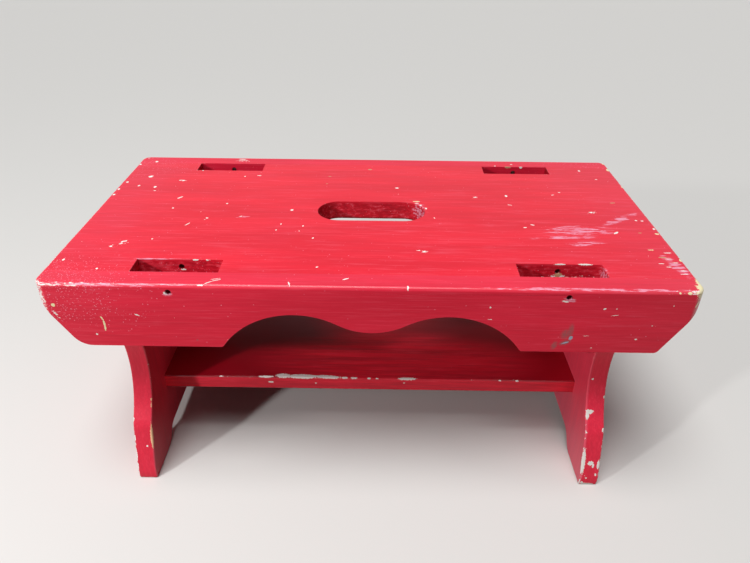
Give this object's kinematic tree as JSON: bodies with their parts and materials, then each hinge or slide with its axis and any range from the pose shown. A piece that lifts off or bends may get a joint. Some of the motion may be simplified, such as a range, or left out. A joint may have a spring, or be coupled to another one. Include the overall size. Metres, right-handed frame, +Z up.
{
  "type": "footstool",
  "caption": "Low painted wooden footstool with a slotted top and hand-hold, scalloped aprons, shaped leg boards and a shelf between them.",
  "frame": {"origin": "on the floor, midway along and across the stool's footprint", "axes": "+X along the length to the right, +Y to the rear, +Z up; the front apron faces -Y"},
  "size_m": [0.486, 0.265, 0.197],
  "materials": {
    "red_paint": "satin red brush paint over white primer and softwood, chipped and worn at the arrises",
    "nail_steel": "plain bright wire nails",
    "painted_filler": "wood filler, levelled and painted over in the same red"
  },
  "bodies": {
    "root": {"top_board": "red_paint", "front_apron": "red_paint", "rear_apron": "red_paint", "left_leg": "red_paint", "right_leg": "red_paint", "shelf": "red_paint", "apron_to_top_nails": "nail_steel", "apron_to_leg_nails": "nail_steel", "top_to_leg_nails": "nail_steel", "leg_to_shelf_nails": "nail_steel", "nail_fillings": "painted_filler"}
  },
  "joints": []
}
